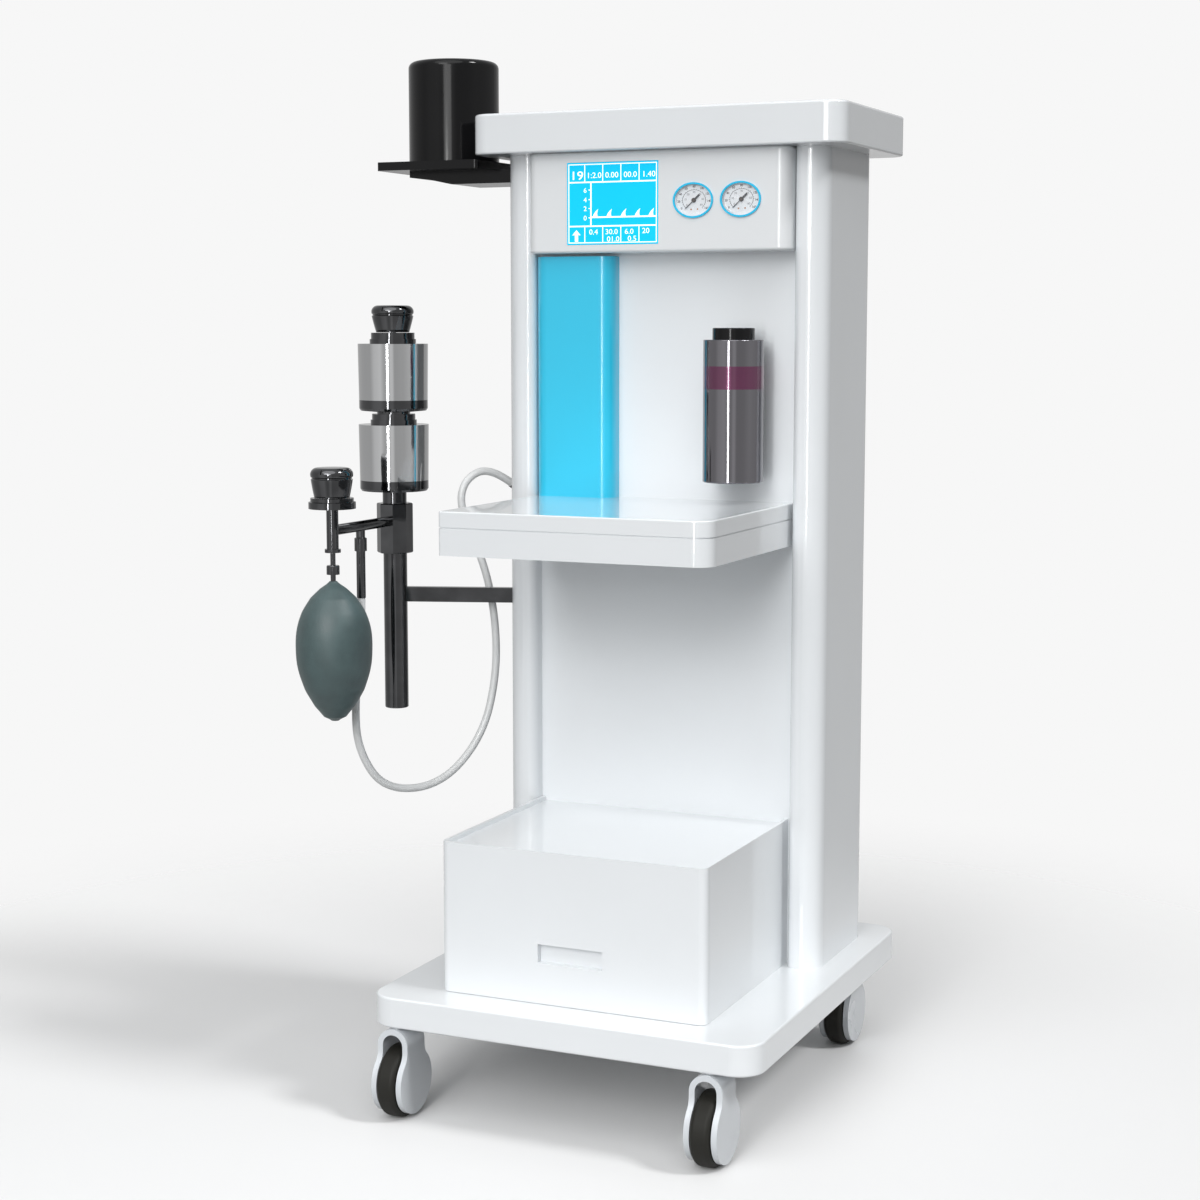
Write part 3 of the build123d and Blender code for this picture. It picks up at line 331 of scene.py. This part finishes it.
for start in (0.276, 0.428, 0.586, 0.738, 0.888):
    plate(graphics, [(sx(start + fx), sz(BASELINE - fz)) for fx, fz in FIN], FACE - INK_T * 1.1, INK_T)
ink_text("19", 0.0172, 0.108, 0.207, bold=0.00006, wide=1.25)
for text, at in (("1:2.0", 0.299), ("0.00", 0.495), ("00.0", 0.697), ("1.40", 0.898)):
    ink_text(text, 0.0113, at, 0.190, wide=1.08)
for text, at, level in (("0.4", 0.293, 0.876), ("30.0", 0.492, 0.876), ("01.0", 0.510, 0.965),
                        ("6.0", 0.685, 0.876), ("0.5", 0.718, 0.962), ("20", 0.867, 0.870)):
    ink_text(text, 0.0106, at, level, wide=1.10)
arrow = [(0.103, 0.820), (0.149, 0.883), (0.121, 0.880), (0.121, 0.961), (0.085, 0.961), (0.085, 0.880),
         (0.056, 0.883)]
plate(graphics, [(sx(a), sz(b)) for a, b in arrow], FACE - INK_T, INK_T)
piece("screen_graphics", finished(graphics, "screen_graphics"), INK, "frame", smooth=False)

# ------------------------------------------------------------------ gauge dials
DIAL_Y = -44.0
GAUGE_XS = (59.7, 131.3)
GAUGE_Z = 1279.7
DIAL_STRETCH = 1.2
PRINT_T = 0.0001
CIRCLE_IN, CIRCLE_OUT = 0.0143, 0.0148
TICK_IN, TICK_OUT, TICK_LONG = 0.0147, 0.0155, 0.0162
SWEEP_START, SWEEP = 225, 270
NUMERAL_START, NUMERAL_SWEEP = 215, 250
DOT_ANGLES = (254, 290)
dial_y = cart(0, DIAL_Y, 0).y
scale_marks = bmesh.new()
faint = bmesh.new()
caps = bmesh.new()
dots = bmesh.new()


def spot(centre, radius, angle):
    """A place on an oval dial, for an angle in degrees."""
    turn = math.radians(angle)
    return centre.x + DIAL_STRETCH * radius * math.cos(turn), centre.z + radius * math.sin(turn)


def sector(bm, centre, inner, outer, a0, a1, thick):
    """A short piece of a printed ring."""
    plate(bm, [spot(centre, inner, a0), spot(centre, outer, a0), spot(centre, outer, a1),
               spot(centre, inner, a1)], dial_y - thick, thick)


for gauge_x in GAUGE_XS:
    centre = cart(gauge_x, 0, GAUGE_Z)
    for k in range(25):
        angle = SWEEP_START - SWEEP * k / 24
        outer = TICK_OUT if k % 4 else TICK_LONG
        sector(scale_marks, centre, TICK_IN, outer, angle + 0.8, angle - 0.8, PRINT_T)
    for k in range(54):
        sector(scale_marks, centre, CIRCLE_IN, CIRCLE_OUT, SWEEP_START - SWEEP * k / 54,
               SWEEP_START - SWEEP * (k + 1) / 54, 0.8 * PRINT_T)
    for k in range(7):
        x, z = spot(centre, 0.0112, NUMERAL_START - NUMERAL_SWEEP * k / 6)
        letters(faint, str(k * 10), 0.0042, x, z - 0.0013, dial_y - PRINT_T, PRINT_T)
    for k in range(9):
        x, z = spot(centre, 0.0192, NUMERAL_START - NUMERAL_SWEEP * k / 8)
        letters(scale_marks, str(k * 20), 0.0044, x, z - 0.0015, dial_y - PRINT_T, PRINT_T, bold=0.0001)
    disc(caps, centre.x, centre.z, 0.0027, 24, dial_y - 0.0026, 0.0004)
    for angle in DOT_ANGLES:
        disc(dots, *spot(centre, 0.0132, angle), 0.0012, 12, dial_y - 2 * PRINT_T, 2 * PRINT_T)
piece("gauge_scales", finished(scale_marks, "gauge_scales"), PRINT, "frame", smooth=False)
piece("gauge_numerals", finished(faint, "gauge_numerals"), FAINT, "frame", smooth=False)
piece("gauge_caps", finished(caps, "gauge_caps"), CAP, "frame", smooth=False)
piece("gauge_dots", finished(dots, "gauge_dots"), ORANGE, "frame", smooth=False)

# ------------------------------------------------------------------ breathing bag
bag_lo, bag_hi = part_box("breathing_bag")
axis = Vector(((bag_lo.x + bag_hi.x) / 2, (bag_lo.y + bag_hi.y) / 2, 0))
BAG_PROFILE = [(735, 5.6), (724, 19.6), (711, 33.2), (690, 46.1), (665, 53.8), (639, 55.8), (608, 53.2),
               (576, 43.4), (552, 29.6), (536, 16.6), (530, 5.8)]
BAG_Z = [z for z, r in BAG_PROFILE]
BAG_RAD = [r for z, r in BAG_PROFILE]


def bag_radius(z):
    """Radius in mm at a height in mm, on a smooth curve through the profile."""
    for k in range(len(BAG_Z) - 1):
        if BAG_Z[k] >= z >= BAG_Z[k + 1]:
            t = (BAG_Z[k] - z) / (BAG_Z[k] - BAG_Z[k + 1])
            before = BAG_RAD[max(0, k - 1)]
            after = BAG_RAD[min(len(BAG_Z) - 1, k + 2)]
            a, b = BAG_RAD[k], BAG_RAD[k + 1]
            return 0.5 * (2 * a + (b - before) * t + (2 * before - 5 * a + 4 * b - after) * t * t
                          + (3 * a - before - 3 * b + after) * t ** 3)
    return BAG_RAD[-1]


bag = bmesh.new()
RINGS, SIDES = 90, 96
grid = []
for i in range(RINGS + 1):
    f = i / RINGS
    z = BAG_Z[0] - (BAG_Z[0] - BAG_Z[-1]) * (0.5 - 0.5 * math.cos(math.pi * f))
    ring = []
    for j in range(SIDES):
        a = 2 * math.pi * j / SIDES
        radius = bag_radius(z)
        soft = noise.noise(Vector((math.cos(a) * 1.3, math.sin(a) * 1.3, z / 46.0)))
        radius *= 1 + 0.010 * soft - 0.006 * (1 - abs(math.cos(2 * a))) * math.sin(math.pi * f)
        seam = max(0.0, 1 - abs(((a / math.pi + 0.25) % 1.0) - 0.5) * 60)
        radius += 0.35 * seam * math.sin(math.pi * f)
        ring.append(bag.verts.new((axis.x + radius * math.cos(a) / 1000, axis.y + radius * math.sin(a) / 1000,
                                   z / 1000)))
    grid.append(ring)
for i in range(RINGS):
    for j in range(SIDES):
        k = (j + 1) % SIDES
        bag.faces.new((grid[i][j], grid[i + 1][j], grid[i + 1][k], grid[i][k]))
bag.faces.new(list(reversed(grid[0])))
bag.faces.new(grid[-1])
bmesh.ops.recalc_face_normals(bag, faces=bag.faces)
bag_obj = piece("rubber_bag", finished(bag, "rubber_bag"), BAG, "frame")
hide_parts("breathing_bag")

# ------------------------------------------------------------------ stage and light
floor_mesh = bpy.data.meshes.new("floor")
FLOOR_REACH = 9.0
CORNERS = ((-1, -1), (1, -1), (1, 1), (-1, 1))
floor_mesh.from_pydata([(x * FLOOR_REACH, y * FLOOR_REACH, 0) for x, y in CORNERS], [], [(0, 1, 2, 3)])
floor = bpy.data.objects.new("floor", floor_mesh)
bpy.context.scene.collection.objects.link(floor)
floor_mat = bpy.data.materials.new("floor")
floor_mat.use_nodes = True
ft = floor_mat.node_tree
fs = ft.nodes["Principled BSDF"]
fs.inputs["Roughness"].default_value = 0.6
fs.inputs["Specular IOR Level"].default_value = 0.2
where = ft.nodes.new("ShaderNodeTexCoord")
length = ft.nodes.new("ShaderNodeVectorMath")
length.operation = "LENGTH"
ft.links.new(where.outputs["Object"], length.inputs[0])
fade = ft.nodes.new("ShaderNodeMapRange")
fade.interpolation_type = "SMOOTHSTEP"
fade.inputs["From Min"].default_value = 0.65
fade.inputs["From Max"].default_value = 1.9
ft.links.new(length.outputs["Value"], fade.inputs["Value"])
path = ft.nodes.new("ShaderNodeLightPath")
bounce = ft.nodes.new("ShaderNodeMix")
bounce.data_type = "RGBA"
bounce.inputs["A"].default_value = (0.83, 0.83, 0.83, 1)
bounce.inputs["B"].default_value = (0.32, 0.32, 0.32, 1)
ft.links.new(path.outputs["Is Diffuse Ray"], bounce.inputs["Factor"])
ft.links.new(bounce.outputs["Result"], fs.inputs["Base Color"])
clear = ft.nodes.new("ShaderNodeBsdfTransparent")
blend = ft.nodes.new("ShaderNodeMixShader")
ft.links.new(fade.outputs["Result"], blend.inputs["Fac"])
ft.links.new(fs.outputs["BSDF"], blend.inputs[1])
ft.links.new(clear.outputs["BSDF"], blend.inputs[2])
ft.links.new(blend.outputs["Shader"], ft.nodes["Material Output"].inputs["Surface"])
floor_mesh.materials.append(floor_mat)

world = bpy.data.worlds.new("studio")
bpy.context.scene.world = world
world.use_nodes = True
wt = world.node_tree
backdrop = wt.nodes["Background"]
backdrop.inputs["Color"].default_value = (0.93, 0.93, 0.93, 1)
backdrop.inputs["Strength"].default_value = 1.0
ambient = wt.nodes.new("ShaderNodeBackground")
ambient.inputs["Color"].default_value = (0.96, 0.985, 1.0, 1)
low_cut = wt.nodes.new("ShaderNodeMapRange")
low_cut.interpolation_type = "SMOOTHSTEP"
low_cut.inputs["From Min"].default_value = 0.0
low_cut.inputs["From Max"].default_value = 0.32
low_cut.inputs["To Max"].default_value = 0.27
wt.links.new(low_cut.outputs["Result"], ambient.inputs["Strength"])
mirrored = wt.nodes.new("ShaderNodeBackground")
mirrored.inputs["Strength"].default_value = 1.0
way = wt.nodes.new("ShaderNodeTexCoord")
axes = wt.nodes.new("ShaderNodeSeparateXYZ")
wt.links.new(way.outputs["Generated"], axes.inputs["Vector"])
turn = wt.nodes.new("ShaderNodeMath")
turn.operation = "ARCTAN2"
wt.links.new(axes.outputs["Y"], turn.inputs[0])
wt.links.new(axes.outputs["X"], turn.inputs[1])
share = wt.nodes.new("ShaderNodeMapRange")
share.inputs["From Min"].default_value = -math.pi
share.inputs["From Max"].default_value = math.pi
wt.links.new(turn.outputs["Value"], share.inputs["Value"])
round_room = wt.nodes.new("ShaderNodeValToRGB")
ROOM = [(-180, 0.57), (-142, 0.57), (-128, 0.80), (-104, 0.92), (-92, 0.62), (-86, 0.52), (-76, 0.62),
        (-70, 0.90), (-63, 0.88), (-57, 0.55), (-28, 0.58), (-6, 0.70), (25, 0.62), (60, 0.45), (110, 0.60),
        (180, 0.57)]
ramp = round_room.color_ramp
for k, (azimuth, level) in enumerate(ROOM):
    at = (azimuth + 180) / 360
    if k == 0:
        stop = ramp.elements[0]
    elif k == len(ROOM) - 1:
        stop = ramp.elements[-1]
    else:
        stop = ramp.elements.new(at)
    stop.position = at
    stop.color = (level, level, level, 1)
wt.links.new(share.outputs["Result"], round_room.inputs["Fac"])
height = wt.nodes.new("ShaderNodeMapRange")
height.inputs["From Min"].default_value = 0.35
height.inputs["From Max"].default_value = 0.85
wt.links.new(axes.outputs["Z"], height.inputs["Value"])
wt.links.new(axes.outputs["Z"], low_cut.inputs["Value"])
ceiling = wt.nodes.new("ShaderNodeMix")
ceiling.data_type = "RGBA"
ceiling.inputs["B"].default_value = (0.75, 0.76, 0.77, 1)
wt.links.new(height.outputs["Result"], ceiling.inputs["Factor"])
wt.links.new(round_room.outputs["Color"], ceiling.inputs["A"])
wt.links.new(ceiling.outputs["Result"], mirrored.inputs["Color"])
rays = wt.nodes.new("ShaderNodeLightPath")
choose = wt.nodes.new("ShaderNodeMixShader")
shiny = wt.nodes.new("ShaderNodeMixShader")
wt.links.new(rays.outputs["Is Glossy Ray"], shiny.inputs["Fac"])
wt.links.new(ambient.outputs["Background"], shiny.inputs[1])
wt.links.new(mirrored.outputs["Background"], shiny.inputs[2])
wt.links.new(rays.outputs["Is Camera Ray"], choose.inputs["Fac"])
wt.links.new(shiny.outputs["Shader"], choose.inputs[1])
wt.links.new(backdrop.outputs["Background"], choose.inputs[2])
wt.links.new(choose.outputs["Shader"], wt.nodes["World Output"].inputs["Surface"])


def area_light(name, place, target, size, power, tall=None):
    """A rectangular lamp at a place, turned to a target."""
    data = bpy.data.lights.new(name, "AREA")
    data.energy = power
    data.shape = "RECTANGLE"
    data.size = size
    data.size_y = tall or size
    lamp = bpy.data.objects.new(name, data)
    bpy.context.scene.collection.objects.link(lamp)
    lamp.location = place
    lamp.rotation_euler = (Vector(target) - Vector(place)).to_track_quat("-Z", "Y").to_euler()
    return lamp


def sun_light(name, azimuth, elevation, angle, power):
    """A distant lamp in a direction, with a soft edge as wide as its angle."""
    data = bpy.data.lights.new(name, "SUN")
    data.energy = power
    data.angle = math.radians(angle)
    lamp = bpy.data.objects.new(name, data)
    bpy.context.scene.collection.objects.link(lamp)
    a, e = math.radians(azimuth), math.radians(elevation)
    toward = Vector((math.cos(a) * math.cos(e), math.sin(a) * math.cos(e), math.sin(e)))
    lamp.rotation_euler = toward.to_track_quat("Z", "Y").to_euler()
    return lamp


sun_light("key", 0, 47, 13, 1.42)
sun_light("front_key", -90, 25, 24, 0.56)
sun_light("front_fill", -80, 50, 60, 1.36)
area_light("strip", (0.35, -3.75, 1.05), (0.2, 0, 1.05), 0.22, 22, tall=1.2)
area_light("upper_fill", (0.35, -2.9, 1.8), (0.0, 0, 1.3), 1.0, 15)

bpy.context.scene.view_settings.view_transform = "Standard"
bpy.context.scene.view_settings.look = "None"
